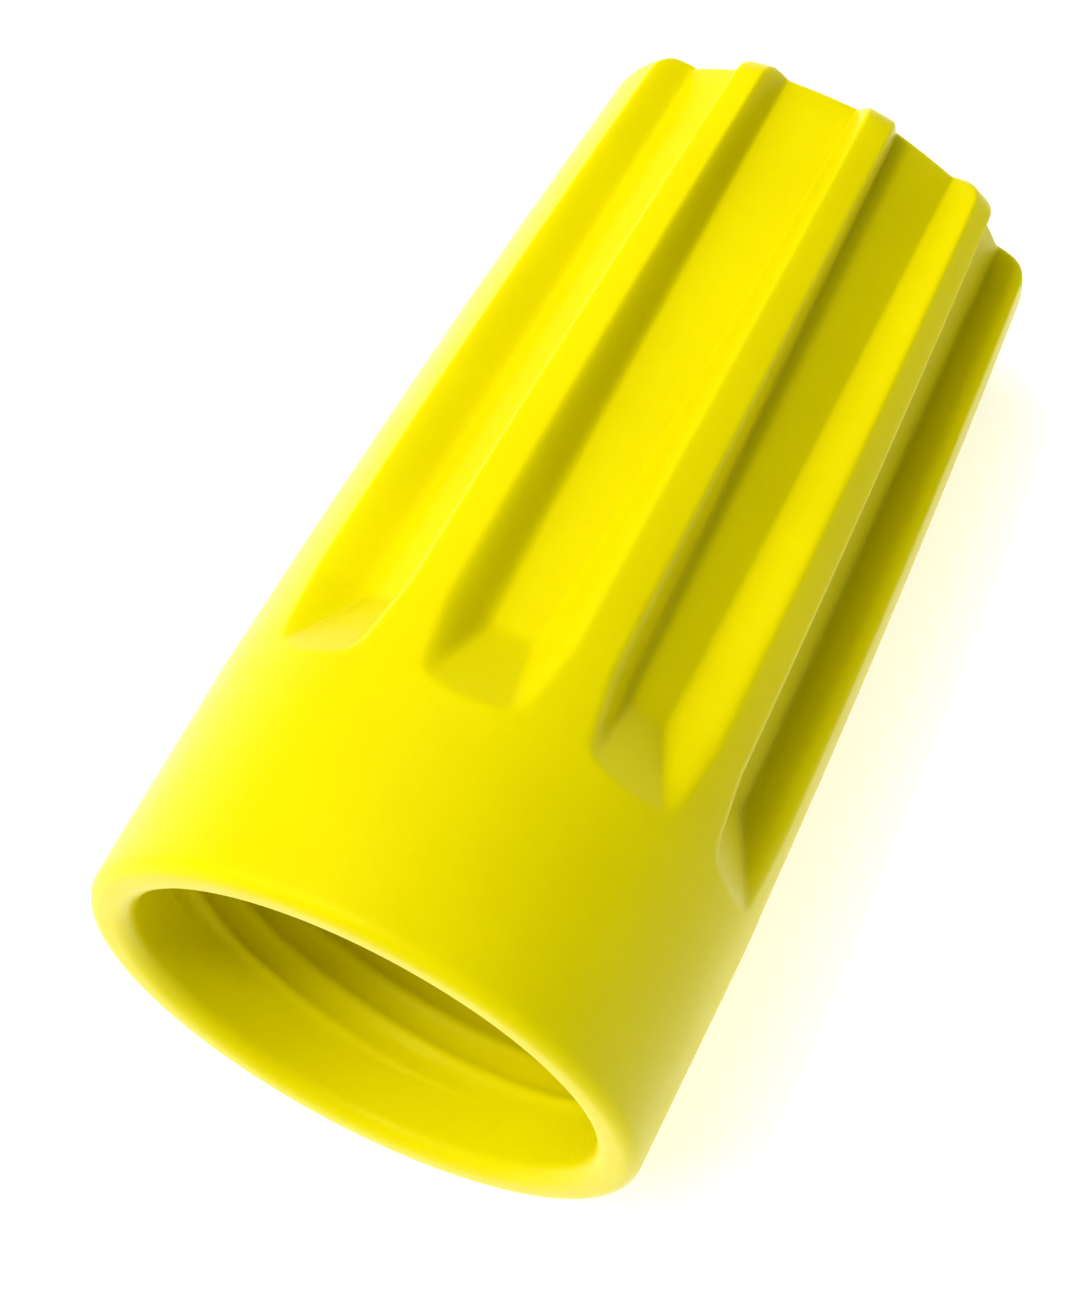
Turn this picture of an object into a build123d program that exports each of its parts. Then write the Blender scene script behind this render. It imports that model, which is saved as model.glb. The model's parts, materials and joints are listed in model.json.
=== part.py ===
from build123d import *
import math
import os

# Twist-on wire connector: a moulded thermoplastic shell with a tapered, fluted grip, and a
# square-wire conical spring pressed inside it. All sizes are in millimetres.
#
# Both pieces are drawn on their own axis: the mouth's plane is at height 0 and the closed crown is
# at +Z. At the end they are laid down on a table, as the object rests by itself: on the top of the
# skirt and on the two grip ribs beside a groove. There the mouth faces -Y.

# ---- shell, outside ----
LENGTH = 24.3  # mouth plane to crown face
MOUTH_RADIUS = 7.05  # outside of the skirt at the mouth
SKIRT_LENGTH = 6.1  # plain band between the mouth and the grip
SKIRT_TOP_RADIUS = 6.84  # outside, where the skirt meets the grip
CROWN_RADIUS = 5.36  # over the rib crests at the crown
GRIP_BULGE = 0.115  # how far the slow curve of the crests stands out from a straight line
RIM_OUTER_ROUND = 0.4
RIM_INNER_ROUND = 0.45
CROWN_ROUND = 0.6

# ---- grip: evenly spaced grooves, but for two plain lands on opposite sides ----
GROOVE_PLACES = 10  # round the grip, with the lands counted
FIRST_LAND = 3  # counted round from the groove that faces down; the other land is opposite it
GROOVE_DEPTH_LOW = 1.05  # below the rib crests, where the run-out ends
GROOVE_DEPTH_HIGH = 0.86  # below the rib crests, at the crown
GROOVE_FLOOR_LOW = 1.25  # width of the flat floor where the run-out ends
GROOVE_FLOOR_HIGH = 1.85  # width of the flat floor at the crown
RIB_TOP_LOW = 1.35  # width of a rib's crest where the run-out ends
RIB_TOP_HIGH = 0.85  # width of a rib's crest at the crown
RUN_OUT_LENGTH = 2.25  # sloped end of each groove, from the skirt down to its floor
RUN_OUT_WIDTH = 2.2  # width of that slope where it leaves the skirt
CREST_ROUND = 0.3

# ---- shell, inside of the skirt ----
BORE_RADIUS = 5.9
BORE_DEPTH = 6.6
FUNNEL_ANGLE = 45.0  # degrees from the axis, between the bore and the spring's mouth
THREAD_STARTS = 4
THREAD_LEAD = 3.3  # right-handed
THREAD_FIRST = 1.6  # height where the guide ridges begin
THREAD_LAST = 6.3  # height where they end
THREAD_HEIGHT = 0.13
THREAD_BASE = 0.46

# ---- spring ----
WIRE_SIDE = 0.78  # square wire, wound with a corner facing in
SPRING_PITCH = 1.2
SPRING_TURNS = 10.0
SPRING_START = 9.6  # height of the wire's centre at the large end
SPRING_MOUTH_RADIUS = 3.7  # wire's centre at the large end
SPRING_TIP_RADIUS = 1.9  # wire's centre at the small end
TANG_LENGTH = 1.1  # straight tail at the small end, which keeps the spring from turning

# ---- spring chamber ----
SPRING_CLEARANCE = 0.03
LIP_OVERLAP = 0.2  # how far the retaining lip reaches in over the first coil
END_CLEARANCE = 0.05

# ---- crown ----
GATE_DIMPLE_RADIUS = 1.3
GATE_DIMPLE_DEPTH = 0.3
GATE_NUB_RADIUS = 0.45
GATE_NUB_HEIGHT = 0.18

# ---- resting place ----
REST_STEPS = 17  # heights along the ribs that are tried

# ---- values that follow from the sizes above ----
GRIP_LENGTH = LENGTH - SKIRT_LENGTH
RUN_OUT_TOP = SKIRT_LENGTH + RUN_OUT_LENGTH
WIRE_CORNER = WIRE_SIDE / math.sqrt(2)  # wire's centre to its corner
SPRING_HEIGHT = SPRING_PITCH * SPRING_TURNS
SPRING_END = SPRING_START + SPRING_HEIGHT
SPRING_TAPER = (SPRING_MOUTH_RADIUS - SPRING_TIP_RADIUS) / SPRING_HEIGHT
LIP_RADIUS = SPRING_MOUTH_RADIUS + WIRE_CORNER - LIP_OVERLAP
CHAMBER_START = SPRING_START - WIRE_CORNER - END_CLEARANCE
TANG_RISE = TANG_LENGTH * SPRING_PITCH / (2 * math.pi * SPRING_TIP_RADIUS)
CHAMBER_END = SPRING_END + TANG_RISE + WIRE_CORNER + END_CLEARANCE
FUNNEL_LENGTH = (BORE_RADIUS - LIP_RADIUS) / math.tan(math.radians(FUNNEL_ANGLE))


def crest_radius(z):
    """Radius over the rib crests of the grip at height z."""
    share = (z - SKIRT_LENGTH) / GRIP_LENGTH
    straight = SKIRT_TOP_RADIUS + (CROWN_RADIUS - SKIRT_TOP_RADIUS) * share
    return straight + 4 * GRIP_BULGE * share * (1 - share)


def chamber_radius(z):
    """Wall of the spring chamber at height z: the spring's outside and its clearance."""
    wire_centre = SPRING_MOUTH_RADIUS - SPRING_TAPER * (z - SPRING_START)
    return wire_centre + WIRE_CORNER + SPRING_CLEARANCE


def outer_form():
    """Plain turned form of the shell: rounded rim, leaning skirt, slightly bulging grip, crown."""
    skirt = Polyline((0, LENGTH), (0, 0), (MOUTH_RADIUS, 0), (SKIRT_TOP_RADIUS, SKIRT_LENGTH))
    half_way = SKIRT_LENGTH + GRIP_LENGTH / 2
    grip = ThreePointArc(
        (SKIRT_TOP_RADIUS, SKIRT_LENGTH),
        (crest_radius(half_way), half_way),
        (CROWN_RADIUS, LENGTH),
    )
    crown = Line((CROWN_RADIUS, LENGTH), (0, LENGTH))
    profile = make_face([skirt, grip, crown])
    rim = profile.vertices().sort_by_distance((MOUTH_RADIUS, 0))[0]
    profile = fillet(rim, RIM_OUTER_ROUND)
    crown_corner = profile.vertices().sort_by_distance((CROWN_RADIUS, LENGTH))[0]
    profile = fillet(crown_corner, CROWN_ROUND)
    return revolve(Plane.XZ * profile, Axis.Z)


def groove_section(z, floor, floor_width, slope):
    """Cross-section of one groove at height z: a flat floor and two walls that lean outwards."""
    reach = SKIRT_TOP_RADIUS + 1.0 - floor
    half = floor_width / 2
    spread = half + reach * slope
    section = Polygon(
        (floor, -half),
        (floor + reach, -spread),
        (floor + reach, spread),
        (floor, half),
        align=None,
    )
    return Pos(0, 0, z) * section


def wall_slope(crest, floor, floor_width, rib_top):
    """Sideways run of a groove's wall for each step outwards, from its foot to the rib's crest."""
    half_pitch = math.pi / GROOVE_PLACES
    edge_angle = half_pitch - math.asin(rib_top / 2 / crest)
    run = crest * math.sin(edge_angle) - floor_width / 2
    return run / (crest * math.cos(edge_angle) - floor)


def groove_cutter():
    """One grip groove: a sloped run-out at its lower end, then a floor out through the crown."""
    low_crest = crest_radius(RUN_OUT_TOP)
    low_floor = low_crest - GROOVE_DEPTH_LOW
    low_slope = wall_slope(low_crest, low_floor, GROOVE_FLOOR_LOW, RIB_TOP_LOW)
    high_floor = CROWN_RADIUS - GROOVE_DEPTH_HIGH
    high_slope = wall_slope(CROWN_RADIUS, high_floor, GROOVE_FLOOR_HIGH, RIB_TOP_HIGH)
    start = groove_section(SKIRT_LENGTH, SKIRT_TOP_RADIUS, RUN_OUT_WIDTH, low_slope)
    low = groove_section(RUN_OUT_TOP, low_floor, GROOVE_FLOOR_LOW, low_slope)
    high = groove_section(LENGTH, high_floor, GROOVE_FLOOR_HIGH, high_slope)
    return loft([start, low, high], ruled=True)


def round_crests(body):
    """Round the long edges where the groove walls meet the rib crests."""
    crests = []
    for edge in body.edges():
        middle = edge @ 0.5
        on_crest = abs(math.hypot(middle.X, middle.Y) - crest_radius(middle.Z)) < 0.05
        if on_crest and edge.length > GRIP_LENGTH / 2:
            crests.append(edge)
    return fillet(crests, CREST_ROUND)


def hollow():
    """Space inside the shell: bore, funnel, retaining lip and the spring's tapered chamber."""
    outline = Polyline(
        (0, -1),
        (BORE_RADIUS, -1),
        (BORE_RADIUS, BORE_DEPTH),
        (LIP_RADIUS, BORE_DEPTH + FUNNEL_LENGTH),
        (LIP_RADIUS, CHAMBER_START),
        (chamber_radius(CHAMBER_START), CHAMBER_START),
        (chamber_radius(CHAMBER_END), CHAMBER_END),
        (0, CHAMBER_END),
        close=True,
    )
    return revolve(Plane.XZ * make_face(outline), Axis.Z)


def guide_thread():
    """Low right-handed ridges round the bore, which lead the wires in as the shell is turned."""
    height = THREAD_LAST - THREAD_FIRST
    root = BORE_RADIUS + THREAD_HEIGHT / 2
    path = Helix(THREAD_LEAD, height, BORE_RADIUS, center=(0, 0, THREAD_FIRST))
    half = THREAD_BASE / 2
    ridge = Polyline(
        (root - BORE_RADIUS, -half),
        (-THREAD_HEIGHT, 0),
        (root - BORE_RADIUS, half),
        close=True,
    )
    start = Plane(origin=path @ 0, x_dir=(1, 0, 0), z_dir=path % 0)
    ridge = sweep(start * make_face(ridge), path=path, is_frenet=True)
    return [Rot(0, 0, 360 / THREAD_STARTS * i) * ridge for i in range(THREAD_STARTS)]


def spring_path():
    """Centre line of the wire: a conical helix from the large end up to the small end."""
    taper_angle = math.degrees(math.atan(SPRING_TAPER))
    return Helix(
        SPRING_PITCH,
        SPRING_HEIGHT,
        SPRING_MOUTH_RADIUS,
        center=(0, 0, SPRING_START),
        cone_angle=-taper_angle,
    )


def make_spring():
    """Square wire wound with a corner inwards, and its straight tail at the small end."""
    path = spring_path()
    start = Plane(origin=path @ 0, x_dir=(1, 0, 0), z_dir=path % 0)
    wire = start * Rot(0, 0, 45) * Rectangle(WIRE_SIDE, WIRE_SIDE)
    coil = sweep(wire, path=path, is_frenet=True)
    end_face = coil.faces().sort_by_distance(path @ 1)[0]
    return coil + extrude(end_face, TANG_LENGTH)


def tang_slot():
    """Slot in the chamber wall for the spring's tail, open towards the mouth."""
    path = spring_path()
    end = path @ 1
    angle = math.degrees(math.atan2(end.Y, end.X))
    width = 2 * (WIRE_CORNER + SPRING_CLEARANCE)
    reach = TANG_LENGTH + END_CLEARANCE
    top = CHAMBER_END
    slot = Box(width, reach, top - RUN_OUT_TOP, align=(Align.CENTER, Align.MIN, Align.MAX))
    return Pos(0, 0, top) * Rot(0, 0, angle) * Pos(SPRING_TIP_RADIUS, 0, 0) * slot


def make_shell():
    """Moulded shell: fluted outside, threaded bore, spring chamber and the gate's mark."""
    cutter = groove_cutter()
    pitch = 360 / GROOVE_PLACES
    body = Rot(0, 0, pitch * FIRST_LAND) * outer_form() - hollow() - tang_slot()
    mouth_edges = body.edges().filter_by(GeomType.CIRCLE).group_by(Axis.Z)[0]
    body = fillet(mouth_edges.sort_by(SortBy.RADIUS)[0], RIM_INNER_ROUND)
    body = body + guide_thread()
    dimple = Cylinder(
        GATE_DIMPLE_RADIUS, GATE_DIMPLE_DEPTH, align=(Align.CENTER, Align.CENTER, Align.MAX)
    )
    nub = Cylinder(
        GATE_NUB_RADIUS, GATE_NUB_HEIGHT, align=(Align.CENTER, Align.CENTER, Align.MIN)
    )
    body = body - Pos(0, 0, LENGTH) * dimple
    body = body + Pos(0, 0, LENGTH - GATE_DIMPLE_DEPTH) * nub
    lands = (FIRST_LAND, FIRST_LAND + GROOVE_PLACES // 2)
    places = [i for i in range(GROOVE_PLACES) if i not in lands]
    body = body - [Rot(0, 0, pitch * i) * cutter for i in places]
    return round_crests(body)


def resting_place(shell):
    """Location that lays the connector on its side, with one groove of the grip facing down.

    It leans until the first place on the two ribs beside that groove comes down to the table.
    """
    leans = []
    for i in range(REST_STEPS):
        z = RUN_OUT_TOP + (LENGTH - CROWN_ROUND - RUN_OUT_TOP) * i / (REST_STEPS - 1)
        reach = section(shell, section_by=Plane.XY.offset(z)).bounding_box().max.X
        leans.append(math.atan2(SKIRT_TOP_RADIUS - reach, z - SKIRT_LENGTH))
    laid = Rot(-90 - math.degrees(min(leans)), 0, 0) * Rot(0, 0, 90)
    box = (laid * shell).bounding_box()
    return Pos(-box.center().X, -box.center().Y, -box.min.Z) * laid


shell = make_shell()
spring = make_spring()
place = resting_place(shell)

os.makedirs("parts", exist_ok=True)
export_step(place * shell, "parts/shell.step")
export_step(place * spring, "parts/spring.step")
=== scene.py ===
# Looks of the twist-on wire connector: a moulded yellow shell and the zinc-plated spring inside it.
import bpy
import json
import math

import numpy as np
from mathutils import Matrix, Vector


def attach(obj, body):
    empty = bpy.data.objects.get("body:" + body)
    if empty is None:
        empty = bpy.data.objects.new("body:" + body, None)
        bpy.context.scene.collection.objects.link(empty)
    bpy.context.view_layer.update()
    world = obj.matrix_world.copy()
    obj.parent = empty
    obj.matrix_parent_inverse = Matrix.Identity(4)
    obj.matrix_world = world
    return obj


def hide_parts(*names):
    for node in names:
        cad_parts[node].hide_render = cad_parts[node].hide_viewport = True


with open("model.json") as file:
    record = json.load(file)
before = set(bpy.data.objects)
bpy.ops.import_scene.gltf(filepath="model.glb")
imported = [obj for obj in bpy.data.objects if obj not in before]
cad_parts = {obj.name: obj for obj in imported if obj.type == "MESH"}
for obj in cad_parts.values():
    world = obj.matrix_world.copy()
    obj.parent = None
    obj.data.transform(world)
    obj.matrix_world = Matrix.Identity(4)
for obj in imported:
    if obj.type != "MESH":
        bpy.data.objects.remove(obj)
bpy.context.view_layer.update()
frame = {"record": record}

MM = 0.001

# ---- shell, in mm, as the CAD model has it ----
MOUTH_RADIUS = 7.05
SKIRT_LENGTH = 6.1
SKIRT_TOP_RADIUS = 6.84
CROWN_RADIUS = 5.36
GRIP_BULGE = 0.115  # how far the grip stands out from a straight cone, halfway up
RIM_INNER_ROUND = 0.45
GROOVE_PLACES = 10
FIRST_LAND = 3  # this place and the one opposite have no groove
GROOVE_DEPTH_LOW = 1.05
GROOVE_DEPTH_HIGH = 0.86
GROOVE_FLOOR_LOW = 1.25
GROOVE_FLOOR_HIGH = 1.85
RIB_TOP_LOW = 1.35
RIB_TOP_HIGH = 0.85
RUN_OUT_LENGTH = 2.25
RUN_OUT_WIDTH = 2.2
BORE_RADIUS = 5.9
BORE_DEPTH = 6.6
THREAD_STARTS = 4
THREAD_LEAD = 3.3
THREAD_FIRST = 1.6
THREAD_LAST = 6.3
GATE_DIMPLE_RADIUS = 1.3
GATE_DIMPLE_DEPTH = 0.3
GATE_NUB_RADIUS = 0.45
GATE_NUB_HEIGHT = 0.18

# ---- moulded edges and guide ridges, a little softer than in the CAD model ----
RIM_OUTER_ROUND = 0.42
TIP_ROUND = 0.62
THREAD_HEIGHT = 0.1
THREAD_WIDTH = 0.2
THREAD_FADE = 0.5  # length over which a guide ridge rises at each end
CREST_BLEND_LOW = 0.6
CREST_BLEND_HIGH = 0.85
FLOOR_BLEND = 0.2
RUN_OUT_BLEND = 0.05
RUN_OUT_TOP_BLEND = 0.08
FLOOR_END_ROUND = 0.14
FLOOR_WIDENING = 0.6  # power of the share of the floor's length: under 1 it widens fast at first
BORE_END_ROUND = 0.12
SHARP_ROUND = 0.02
GATE_SOFTNESS = 0.06

# ---- spacing of the shell's points ----
FLOOR_STEPS = 4
WALL_STEPS = 28
FOOT_MARGIN = 0.05  # radians inside the floor's edge where the close spacing begins
BEND_REACH = 0.25  # length each side of a bend with closer rings
RUN_OUT_FOOT = 0.35  # length above the skirt with closer rings
GRIP_FOOT = 2.0  # length above the run-out with closer rings
BORE_RINGS = 150
RING_GAP = 0.1  # from the rim's inner round to the bore's first ring
CENTRE_RADIUS = 0.02  # of the small flat face that closes the rings at the axis
LEAST_CLOSING = 0.02  # keeps a wall's radius finite at angles that the wall doesn't reach

# ---- spring ----
WIRE_SIDE = 0.78
WIRE_EDGE_ROUND = 0.1
SPRING_PITCH = 1.2
SPRING_TURNS = 10.0
SPRING_START = 9.6
SPRING_MOUTH_RADIUS = 3.7
SPRING_TIP_RADIUS = 1.9
TANG_LENGTH = 1.1
SPRING_CLEARANCE = 0.03
LIP_OVERLAP = 0.2
END_CLEARANCE = 0.05
STEPS_PER_TURN = 72
TANG_STEPS = 4

# ---- camera, from the mouth's centre ----
AXIS_TURN = 61.34  # degrees from the picture's horizontal up to the connector's axis
AXIS_AWAY = 20.28  # degrees that the axis runs away from the picture plane
TOP_PHASE = -13.5  # degrees from the groove on top round to the side that faces the camera
CAMERA_DISTANCE = 181.8 * MM
CAMERA_RIGHT = 4.27 * MM
CAMERA_UP = 8.78 * MM
CAMERA_LENS = 220.4
SENSOR_WIDTH = 36.0

# ---- floor, in metres ----
FLOOR_HALF = 1.5
FLOOR_GAP = 0.00002  # under the connector, so that the two don't share a plane

# ---- values that follow ----
mounts = {m["name"]: m for m in frame["record"]["mounts"]}
AXIS = -Vector(mounts["rim_face"]["axis"]).normalized()
MOUTH = Vector((0.0, mounts["rim_face"]["pos_m"][1], mounts["rim_face"]["pos_m"][2]))
CROWN = Vector((0.0, mounts["crown_face"]["pos_m"][1], mounts["crown_face"]["pos_m"][2]))
LENGTH = (CROWN - MOUTH).dot(AXIS) / MM
DOWN = AXIS.cross(Vector((1.0, 0.0, 0.0))).normalized()
# own frame of the connector: a groove's centre on its X axis, the axis along its Z
PLACE = Matrix((DOWN, AXIS.cross(DOWN), AXIS)).transposed().to_4x4()
PLACE.translation = MOUTH

GRIP_LENGTH = LENGTH - SKIRT_LENGTH
CROWN_TAPER = (SKIRT_TOP_RADIUS - CROWN_RADIUS + 4 * GRIP_BULGE) / GRIP_LENGTH
RUN_OUT_TOP = SKIRT_LENGTH + RUN_OUT_LENGTH
HALF_PITCH = math.pi / GROOVE_PLACES
HIGH_FLOOR = CROWN_RADIUS - GROOVE_DEPTH_HIGH
WIRE_CORNER = WIRE_SIDE / math.sqrt(2)
SPRING_HEIGHT = SPRING_PITCH * SPRING_TURNS
SPRING_END = SPRING_START + SPRING_HEIGHT
SPRING_TAPER = (SPRING_MOUTH_RADIUS - SPRING_TIP_RADIUS) / SPRING_HEIGHT
LIP_RADIUS = SPRING_MOUTH_RADIUS + WIRE_CORNER - LIP_OVERLAP
CHAMBER_START = SPRING_START - WIRE_CORNER - END_CLEARANCE
TANG_RISE = TANG_LENGTH * SPRING_PITCH / (2 * math.pi * SPRING_TIP_RADIUS)
CHAMBER_END = SPRING_END + TANG_RISE + WIRE_CORNER + END_CLEARANCE


# ---------------------------------------------------------------- mesh helpers
def smooth_min(a, b, blend):
    """The smaller of a and b, with the corner between them rounded over blend."""
    overlap = np.maximum(blend - np.abs(a - b), 0.0) / blend
    return np.minimum(a, b) - overlap**2 * blend / 4


def smooth_max(a, b, blend):
    """The larger of a and b, with the corner between them rounded over blend."""
    return -smooth_min(-a, -b, blend)


def ring(radius, angle, z):
    """Points of one ring, in the connector's own frame and in mm."""
    z = np.broadcast_to(z, angle.shape)
    return np.stack([radius * np.cos(angle), radius * np.sin(angle), z], axis=1)


def stations(*spans):
    """Heights along the axis: each span is (start, end, steps), and the last end is kept."""
    runs = [np.linspace(a, b, n, endpoint=False) for a, b, n in spans]
    return np.concatenate(runs + [np.array([spans[-1][1]])])


def mesh_object(name, points, faces):
    """Smooth-shaded mesh object from points in mm in the connector's own frame."""
    mesh = bpy.data.meshes.new(name)
    mesh.from_pydata((np.asarray(points) * MM).tolist(), [], faces)
    mesh.polygons.foreach_set("use_smooth", [True] * len(mesh.polygons))
    mesh.update()
    mesh.validate()
    obj = bpy.data.objects.new(name, mesh)
    bpy.context.scene.collection.objects.link(obj)
    mesh.transform(PLACE)
    return obj


# ---------------------------------------------------------------- outside of the shell
def crest_radius(z):
    """Radius over the skirt and the rib crests at height z."""
    skirt = MOUTH_RADIUS - (MOUTH_RADIUS - SKIRT_TOP_RADIUS) * z / SKIRT_LENGTH
    share = (z - SKIRT_LENGTH) / GRIP_LENGTH
    grip = SKIRT_TOP_RADIUS - (SKIRT_TOP_RADIUS - CROWN_RADIUS) * share
    grip = grip + 4 * GRIP_BULGE * share * (1 - share)
    return skirt if z < SKIRT_LENGTH else grip


LOW_FLOOR = crest_radius(RUN_OUT_TOP) - GROOVE_DEPTH_LOW


def between(low, high, share):
    """Value a share of the way from low to high."""
    return low + (high - low) * share


def groove_section(z):
    """One groove at height z: its floor's distance from the axis, half its width, walls' slope."""
    up_run_out = (z - SKIRT_LENGTH) / RUN_OUT_LENGTH
    up_floor = (z - RUN_OUT_TOP) / (LENGTH - RUN_OUT_TOP)
    ramp_floor = between(SKIRT_TOP_RADIUS, LOW_FLOOR, up_run_out)
    floor = smooth_max(ramp_floor, between(LOW_FLOOR, HIGH_FLOOR, up_floor), RUN_OUT_TOP_BLEND)
    if up_floor < 0:
        half = between(RUN_OUT_WIDTH, GROOVE_FLOOR_LOW, max(up_run_out, 0.0)) / 2
    else:
        half = between(GROOVE_FLOOR_LOW, GROOVE_FLOOR_HIGH, up_floor**FLOOR_WIDENING) / 2
    rib_top = between(RIB_TOP_LOW, RIB_TOP_HIGH, max(up_floor, 0.0))
    sharp_z = max(z, RUN_OUT_TOP)
    crest = crest_radius(sharp_z)
    edge = HALF_PITCH - math.asin(rib_top / 2 / crest)
    foot = GROOVE_FLOOR_LOW / 2 if up_floor < 0 else half
    base = between(LOW_FLOOR, HIGH_FLOOR, max(up_floor, 0.0))
    slope = (crest * math.sin(edge) - foot) / (crest * math.cos(edge) - base)
    return float(floor), half, slope


def groove_angles(z):
    """Angles from a groove's centre to the rib's middle, close together from the floor's edge."""
    floor, half, _ = groove_section(z)
    close_from = math.atan2(half, floor) - FOOT_MARGIN
    return stations((0.0, close_from, FLOOR_STEPS), (close_from, HALF_PITCH, WALL_STEPS))


def outline_angles(z):
    """Angles of one whole ring, and each one's angle from the groove that it belongs to.

    The two lands have no groove, so there the second angle is the rib's middle throughout.
    """
    half = groove_angles(z)
    both = np.concatenate([-half[:0:-1], half[:-1]])
    turns = [both + i * 2 * HALF_PITCH for i in range(GROOVE_PLACES)]
    places = np.repeat(np.arange(GROOVE_PLACES), len(both))
    on_land = places % (GROOVE_PLACES // 2) == FIRST_LAND
    from_groove = np.where(on_land, HALF_PITCH, np.tile(both, GROOVE_PLACES))
    return np.concatenate(turns), from_groove


def wall_radius(side, floor, half, slope):
    """Distance of a groove's wall from the axis, at angles from the groove's centre."""
    closing = np.maximum(np.cos(side) * slope - np.sin(side), LEAST_CLOSING)
    return (floor * slope - half) / closing


def outer_radius(from_groove, z):
    """Radius of the outside at height z, at angles from the nearest groove's centre."""
    crest = crest_radius(z)
    side = np.abs(from_groove)
    floor, half, slope = groove_section(z)
    near = wall_radius(side, floor, half, slope)
    far = wall_radius(2 * HALF_PITCH - side, floor, half, slope)
    blend = between(CREST_BLEND_LOW, CREST_BLEND_HIGH, max(z - RUN_OUT_TOP, 0.0) / GRIP_LENGTH)
    rib = smooth_min(crest, smooth_min(near, far, blend), blend)
    return smooth_min(crest, smooth_max(rib, floor / np.cos(side), FLOOR_BLEND), RUN_OUT_BLEND)


def outer_rings():
    """Rings from the rim's flat face up the outside and over the crown to its centre."""
    rings = []
    for turn in np.linspace(0.0, math.pi / 2, 8, endpoint=False):
        z = RIM_OUTER_ROUND * (1 - math.cos(turn))
        angle, from_groove = outline_angles(z)
        radius = outer_radius(from_groove, z) - RIM_OUTER_ROUND * (1 - math.sin(turn))
        rings.append(ring(radius, angle, z))
    heights = stations(
        (RIM_OUTER_ROUND, SKIRT_LENGTH - BEND_REACH, 12),
        (SKIRT_LENGTH - BEND_REACH, SKIRT_LENGTH + RUN_OUT_FOOT, 14),
        (SKIRT_LENGTH + RUN_OUT_FOOT, RUN_OUT_TOP - BEND_REACH, 10),
        (RUN_OUT_TOP - BEND_REACH, RUN_OUT_TOP + BEND_REACH, 12),
        (RUN_OUT_TOP + BEND_REACH, RUN_OUT_TOP + GRIP_FOOT, 10),
        (RUN_OUT_TOP + GRIP_FOOT, LENGTH - TIP_ROUND, 30),
    )
    for z in heights:
        angle, from_groove = outline_angles(z)
        rings.append(ring(outer_radius(from_groove, z), angle, z))
    angle, from_groove = outline_angles(LENGTH)
    outline = outer_radius(from_groove, LENGTH)
    share = np.clip((outline - HIGH_FLOOR) / GROOVE_DEPTH_HIGH, 0.0, 1.0)
    corner = FLOOR_END_ROUND + (TIP_ROUND - FLOOR_END_ROUND) * share
    for turn in np.linspace(0.0, math.pi / 2, 9)[1:]:
        z = LENGTH - corner * (1 - math.sin(turn))
        radius = outline + CROWN_TAPER * (LENGTH - z) - corner * (1 - math.cos(turn))
        rings.append(ring(radius, angle, z))
    edge = outline - corner
    for share in np.linspace(0.0, 1.0, 7)[1:]:
        radius = edge + (GATE_DIMPLE_RADIUS - edge) * share
        rings.append(ring(radius, angle, LENGTH))
    return rings, angle


def gate_mark_rings(angle):
    """Rings of the shallow dish in the crown and the cut-off gate in its middle."""
    soft = GATE_SOFTNESS
    profile = [
        (GATE_DIMPLE_RADIUS - soft, -soft * 0.3),
        (GATE_DIMPLE_RADIUS - 2 * soft, -soft * 1.2),
        (GATE_DIMPLE_RADIUS - 2.4 * soft, -GATE_DIMPLE_DEPTH + soft),
        (GATE_DIMPLE_RADIUS - 3.4 * soft, -GATE_DIMPLE_DEPTH),
        (GATE_NUB_RADIUS + 2 * soft, -GATE_DIMPLE_DEPTH),
        (GATE_NUB_RADIUS + 0.5 * soft, -GATE_DIMPLE_DEPTH + soft),
        (GATE_NUB_RADIUS, -GATE_DIMPLE_DEPTH + GATE_NUB_HEIGHT - soft),
        (GATE_NUB_RADIUS - soft, -GATE_DIMPLE_DEPTH + GATE_NUB_HEIGHT),
        (GATE_NUB_RADIUS * 0.4, -GATE_DIMPLE_DEPTH + GATE_NUB_HEIGHT * 0.8),
        (CENTRE_RADIUS, -GATE_DIMPLE_DEPTH + GATE_NUB_HEIGHT * 0.75),
    ]
    return [ring(np.full(angle.shape, r), angle, LENGTH + z) for r, z in profile]


# ---------------------------------------------------------------- inside of the shell
def bore_radius(angle, z):
    """Radius of the bore at height z, with the right-handed guide ridges standing in from it."""
    turns = z / THREAD_LEAD - angle / (2 * math.pi)
    from_ridge = (turns * THREAD_STARTS + 0.5) % 1.0 - 0.5
    distance = from_ridge * THREAD_LEAD / THREAD_STARTS
    rise = np.clip((z - THREAD_FIRST) / THREAD_FADE, 0, 1)
    fade = rise * np.clip((THREAD_LAST - z) / THREAD_FADE, 0, 1)
    return BORE_RADIUS - THREAD_HEIGHT * fade * np.exp(-((distance / THREAD_WIDTH) ** 2))


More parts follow.
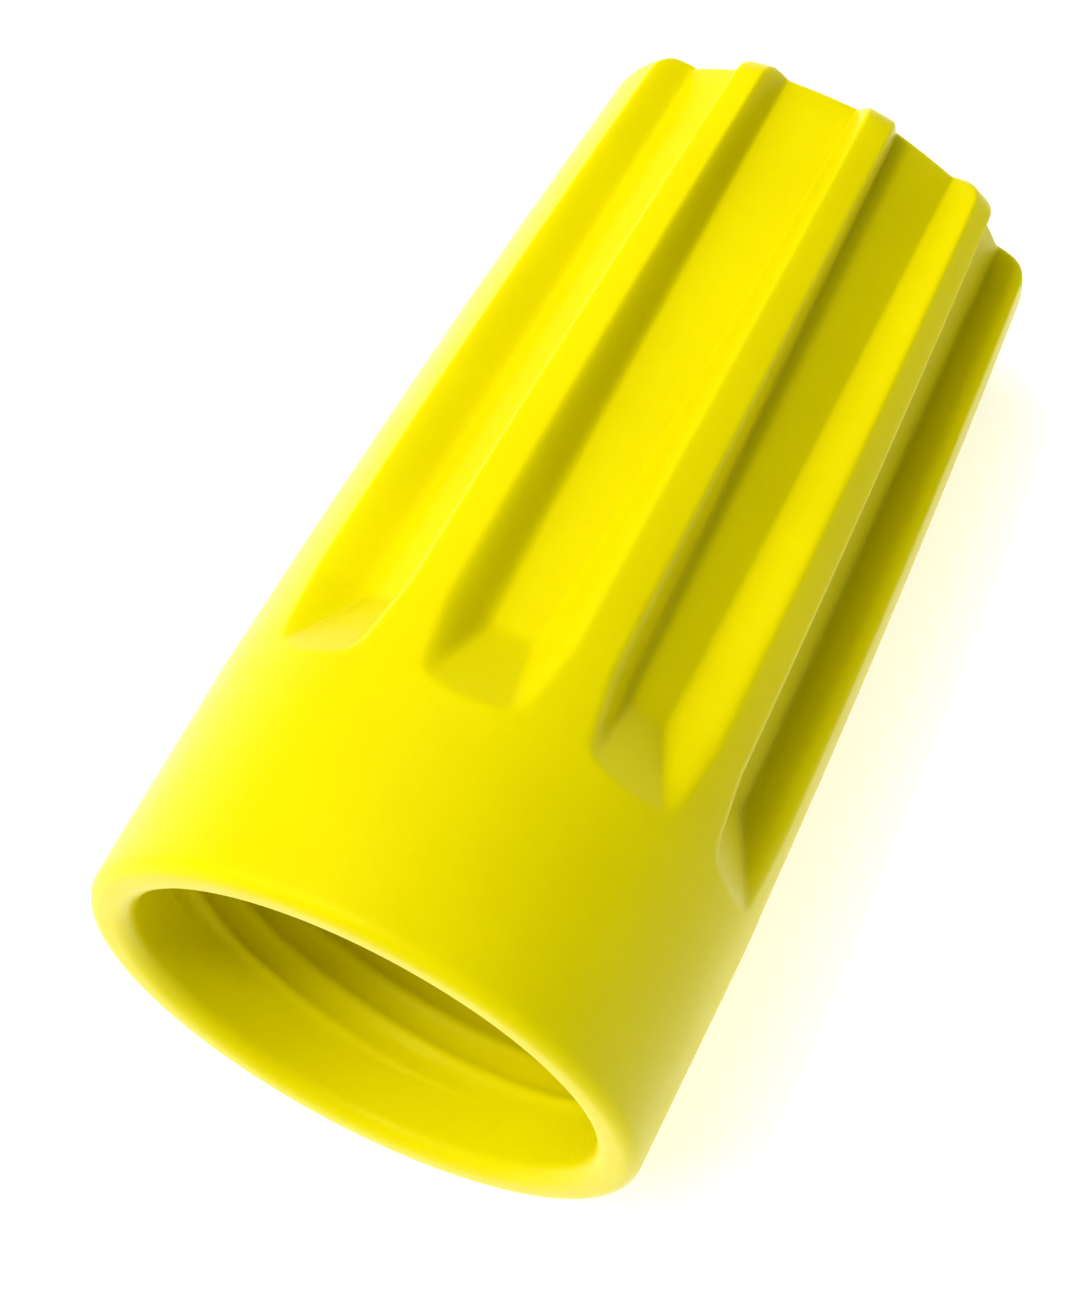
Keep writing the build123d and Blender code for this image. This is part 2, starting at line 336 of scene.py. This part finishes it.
def inner_rings(angle):
    """Rings from the rim's flat face down the bore, past the lip and up to the chamber's end."""
    rings = []
    soft = BORE_END_ROUND
    for turn in np.linspace(0.0, math.pi / 2, 8):
        z = RIM_INNER_ROUND * (1 - math.cos(turn))
        radius = BORE_RADIUS + RIM_INNER_ROUND * (1 - math.sin(turn))
        rings.append(ring(np.full(angle.shape, radius), angle, z))
    for z in stations((RIM_INNER_ROUND + RING_GAP, BORE_DEPTH - soft, BORE_RINGS)):
        rings.append(ring(bore_radius(angle, z), angle, z))
    funnel_end = BORE_DEPTH + BORE_RADIUS - LIP_RADIUS
    chamber_start = SPRING_MOUTH_RADIUS + WIRE_CORNER + SPRING_CLEARANCE
    chamber_start -= SPRING_TAPER * (CHAMBER_START - SPRING_START)
    chamber_end = chamber_start - SPRING_TAPER * (CHAMBER_END - CHAMBER_START)
    profile = [
        (BORE_RADIUS - soft * 0.3, BORE_DEPTH + soft * 0.2),
        (BORE_RADIUS - soft, BORE_DEPTH + soft),
        (LIP_RADIUS + soft, funnel_end - soft),
        (LIP_RADIUS + soft * 0.2, funnel_end + soft * 0.2),
        (LIP_RADIUS, funnel_end + soft),
        (LIP_RADIUS, CHAMBER_START - SHARP_ROUND),
        (LIP_RADIUS + SHARP_ROUND, CHAMBER_START),
        (chamber_start - SHARP_ROUND, CHAMBER_START),
        (chamber_start, CHAMBER_START + SHARP_ROUND),
        (chamber_end, CHAMBER_END - SHARP_ROUND),
        (chamber_end - SHARP_ROUND, CHAMBER_END),
        (CENTRE_RADIUS, CHAMBER_END),
    ]
    rings += [ring(np.full(angle.shape, r), angle, z) for r, z in profile]
    return rings


def strip(first, second, count):
    """Four-sided faces between two rings of the same count."""
    after = [(i + 1) % count for i in range(count)]
    return [(first + i, first + after[i], second + after[i], second + i) for i in range(count)]


def make_shell():
    """The whole moulding as one closed mesh."""
    outside, crown_angle = outer_rings()
    outside += gate_mark_rings(crown_angle)
    around = len(crown_angle)
    inner_angle = outline_angles(0.0)[0][::2]
    inside = inner_rings(inner_angle)
    inner_around = len(inner_angle)
    points = np.concatenate(outside + inside)
    faces = []
    for i in range(len(outside) - 1):
        faces += strip(i * around, (i + 1) * around, around)
    faces.append(tuple(range((len(outside) - 1) * around, len(outside) * around)))
    base = len(outside) * around
    for i in range(len(inside) - 1):
        faces += strip(base + (i + 1) * inner_around, base + i * inner_around, inner_around)
    faces.append(tuple(reversed(range(base + (len(inside) - 1) * inner_around, len(points)))))
    # the rim's flat face: the outside has twice as many points around as the inside
    for i in range(inner_around):
        j = (i + 1) % inner_around
        faces.append((base + i, base + j, (2 * i + 2) % around, 2 * i + 1, 2 * i))
    return mesh_object("shell_moulding", points, faces)


# ---------------------------------------------------------------- spring
def wire_section():
    """Square wire with rounded edges: (out from the axis, along the axis) round its centre."""
    cut = WIRE_EDGE_ROUND * 0.6
    points = []
    for i in range(4):
        turn = math.pi / 2 * i
        for away, aside in ((-cut, -cut), (-cut * 0.3, 0.0), (-cut, cut)):
            reach = WIRE_CORNER + away
            out = reach * math.cos(turn) - aside * math.sin(turn)
            along = reach * math.sin(turn) + aside * math.cos(turn)
            points.append((out, along))
    return points


def make_spring():
    """Conical spring: the section carried along the helix, then along its straight tail."""
    section = wire_section()
    steps = int(SPRING_TURNS * STEPS_PER_TURN)
    centres = []
    for i in range(steps + 1):
        turn = 2 * math.pi * SPRING_TURNS * i / steps
        z = SPRING_START + SPRING_HEIGHT * i / steps
        radius = SPRING_MOUTH_RADIUS - SPRING_TAPER * (z - SPRING_START)
        out = Vector((math.cos(turn), math.sin(turn), 0.0))
        centres.append((out * radius + Vector((0, 0, z)), out))
    last, out = centres[-1]
    onward = (last - centres[-2][0]).normalized()
    tang = [TANG_LENGTH * k / TANG_STEPS for k in range(1, TANG_STEPS + 1)]
    centres += [(last + onward * reach, out) for reach in tang]
    points = []
    for centre, out in centres:
        for away, along in section:
            points.append(centre + out * away + Vector((0, 0, along)))
    count = len(section)
    faces = []
    for i in range(len(centres) - 1):
        faces += strip(i * count, (i + 1) * count, count)
    faces.append(tuple(reversed(range(count))))
    faces.append(tuple(range((len(centres) - 1) * count, len(centres) * count)))
    return mesh_object("spring_wire", points, faces)


# ---------------------------------------------------------------- materials
def new_material(name):
    """Empty node material: (material, node tree, its Principled shader)."""
    material = bpy.data.materials.new(name)
    material.use_nodes = True
    tree = material.node_tree
    return material, tree, tree.nodes["Principled BSDF"]


def noise(tree, coords, scale, detail=4.0, rough=0.55):
    """Noise texture in the piece's own coordinates, in metres."""
    node = tree.nodes.new("ShaderNodeTexNoise")
    node.inputs["Scale"].default_value = scale
    node.inputs["Detail"].default_value = detail
    node.inputs["Roughness"].default_value = rough
    tree.links.new(coords.outputs["Object"], node.inputs["Vector"])
    return node


def ramp(tree, source, low, high):
    """Colour ramp from one (place, colour) to another."""
    node = tree.nodes.new("ShaderNodeValToRGB")
    for element, (place, colour) in zip(node.color_ramp.elements, (low, high)):
        element.position = place
        element.color = (*colour, 1.0)
    tree.links.new(source, node.inputs["Fac"])
    return node


def bump(tree, source, strength, distance, before=None):
    """Bump node, on top of another one if given."""
    node = tree.nodes.new("ShaderNodeBump")
    node.inputs["Strength"].default_value = strength
    node.inputs["Distance"].default_value = distance
    tree.links.new(source, node.inputs["Height"])
    if before:
        tree.links.new(before.outputs["Normal"], node.inputs["Normal"])
    return node


def shell_plastic():
    """Bright yellow polypropylene: slightly translucent, semi-gloss, with a fine moulded grain."""
    material, tree, shader = new_material("yellow_polypropylene")
    coords = tree.nodes.new("ShaderNodeTexCoord")
    clouds = noise(tree, coords, 260.0, 3.0)
    dark, light = (0.575, 0.51, 0.0), (0.605, 0.54, 0.0)
    colour = ramp(tree, clouds.outputs["Fac"], (0.3, dark), (0.7, light))
    tree.links.new(colour.outputs["Color"], shader.inputs["Base Color"])
    patches = noise(tree, coords, 700.0, 5.0)
    gloss = ramp(tree, patches.outputs["Fac"], (0.3, (0.30,) * 3), (0.7, (0.38,) * 3))
    tree.links.new(gloss.outputs["Color"], shader.inputs["Roughness"])
    grain = noise(tree, coords, 9000.0, 3.0, 0.6)
    waves = noise(tree, coords, 900.0, 2.0, 0.5)
    fine = bump(tree, grain.outputs["Fac"], 0.22, 0.00003)
    broad = bump(tree, waves.outputs["Fac"], 0.25, 0.00005, fine)
    tree.links.new(broad.outputs["Normal"], shader.inputs["Normal"])
    shader.inputs["IOR"].default_value = 1.49
    shader.inputs["Specular IOR Level"].default_value = 0.08
    shader.inputs["Specular Tint"].default_value = (1.0, 0.9, 0.22, 1.0)
    shader.inputs["Subsurface Weight"].default_value = 0.25
    shader.inputs["Subsurface Radius"].default_value = (0.7, 1.0, 0.05)
    shader.inputs["Subsurface Scale"].default_value = 0.0008
    return material


def spring_metal():
    """Drawn steel wire with bright zinc plate: fine lines and a few dull patches."""
    material, tree, shader = new_material("zinc_plated_wire")
    coords = tree.nodes.new("ShaderNodeTexCoord")
    patches = noise(tree, coords, 900.0, 5.0)
    dull, bright = (0.50, 0.50, 0.49), (0.74, 0.74, 0.72)
    colour = ramp(tree, patches.outputs["Fac"], (0.35, dull), (0.7, bright))
    tree.links.new(colour.outputs["Color"], shader.inputs["Base Color"])
    gloss = ramp(tree, patches.outputs["Fac"], (0.3, (0.42,) * 3), (0.75, (0.22,) * 3))
    tree.links.new(gloss.outputs["Color"], shader.inputs["Roughness"])
    marks = bump(tree, noise(tree, coords, 5000.0, 3.0).outputs["Fac"], 0.3, 0.00002)
    tree.links.new(marks.outputs["Normal"], shader.inputs["Normal"])
    shader.inputs["Metallic"].default_value = 1.0
    return material


def glowing_floor_paper():
    """Matt white paper with a barely visible tooth, made to glow: painted light that washes out the
    cast shadow.
    """
    material, tree, shader = new_material("glowing_white_paper")
    coords = tree.nodes.new("ShaderNodeTexCoord")
    tone = noise(tree, coords, 30.0, 4.0)
    colour = ramp(tree, tone.outputs["Fac"], (0.3, (0.93, 0.93, 0.925)), (0.7, (0.96, 0.96, 0.955)))
    tree.links.new(colour.outputs["Color"], shader.inputs["Base Color"])
    shader.inputs["Roughness"].default_value = 0.9
    shader.inputs["Specular IOR Level"].default_value = 0.1
    # painted light: the paper glows though nothing lights it, which fills in the connector's cast
    # shadow and lights its underside from below
    shader.inputs["Emission Color"].default_value = (1.0, 1.0, 1.0, 1.0)
    shader.inputs["Emission Strength"].default_value = 0.65
    return material


# ---------------------------------------------------------------- camera and light
def camera_axes():
    """Right, up and back of the camera, from the connector's axis as the picture shows it."""
    turn, away, phase = (math.radians(a) for a in (AXIS_TURN, AXIS_AWAY, TOP_PHASE))
    facing = Matrix.Rotation(-phase, 3, AXIS) @ -DOWN
    back = -math.sin(away) * AXIS + math.cos(away) * facing
    along = (AXIS - AXIS.dot(back) * back).normalized()
    across = back.cross(along)
    right = math.cos(turn) * along - math.sin(turn) * across
    up = math.sin(turn) * along + math.cos(turn) * across
    return right, up, back


def add_camera():
    """Camera with a long lens, at the place the mouth's centre is seen from."""
    right, up, back = camera_axes()
    data = bpy.data.cameras.new("camera")
    data.lens = CAMERA_LENS
    data.sensor_width = SENSOR_WIDTH
    data.clip_start = 0.01
    data.clip_end = 20.0
    camera = bpy.data.objects.new("camera", data)
    place = MOUTH + right * CAMERA_RIGHT + up * CAMERA_UP + back * CAMERA_DISTANCE
    turned = Matrix((right, up, back)).transposed().to_4x4()
    camera.matrix_world = Matrix.Translation(place) @ turned
    bpy.context.scene.collection.objects.link(camera)
    bpy.context.scene.camera = camera
    return right, up, back


def add_panel(name, direction, distance, size, power, colour):
    """Soft light panel that faces the connector from a direction."""
    data = bpy.data.lights.new(name, "AREA")
    data.shape = "RECTANGLE"
    data.size, data.size_y = size
    data.energy = power
    data.color = colour
    panel = bpy.data.objects.new(name, data)
    target = (MOUTH + CROWN) / 2
    panel.location = target + direction.normalized() * distance
    panel.rotation_mode = "QUATERNION"
    panel.rotation_quaternion = direction.to_track_quat("Z", "Y")
    bpy.context.scene.collection.objects.link(panel)


def add_floor(material):
    """Wide sheet of paper under the connector."""
    half = FLOOR_HALF
    mesh = bpy.data.meshes.new("floor")
    corners = [(-half, -half, 0), (half, -half, 0), (half, half, 0), (-half, half, 0)]
    mesh.from_pydata(corners, [], [(0, 1, 2, 3)])
    floor = bpy.data.objects.new("floor", mesh)
    floor.data.materials.append(material)
    floor.location.z = -FLOOR_GAP
    bpy.context.scene.collection.objects.link(floor)


def add_world():
    """Plain pale surroundings."""
    world = bpy.data.worlds.new("studio")
    world.use_nodes = True
    background = world.node_tree.nodes["Background"]
    background.inputs["Color"].default_value = (0.8, 1.0, 0.88, 1.0)
    background.inputs["Strength"].default_value = 0.12
    bpy.context.scene.world = world


# ---------------------------------------------------------------- the scene
shell = make_shell()
shell.data.materials.append(shell_plastic())
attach(shell, "root")
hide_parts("shell")

spring = make_spring()
spring.data.materials.append(spring_metal())
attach(spring, "root")
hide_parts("spring")

add_floor(glowing_floor_paper())
add_world()
right, up, back = add_camera()
add_panel("key", back - right * 0.7 + up * 0.45, 1.0, (1.3, 1.3), 20.0, (1.0, 0.93, 0.86))
add_panel("spark", back - right * 0.4 + up * 0.3, 1.2, (0.16, 0.16), 6.0, (1.0, 1.0, 1.0))
bpy.context.scene.view_settings.view_transform = "Standard"
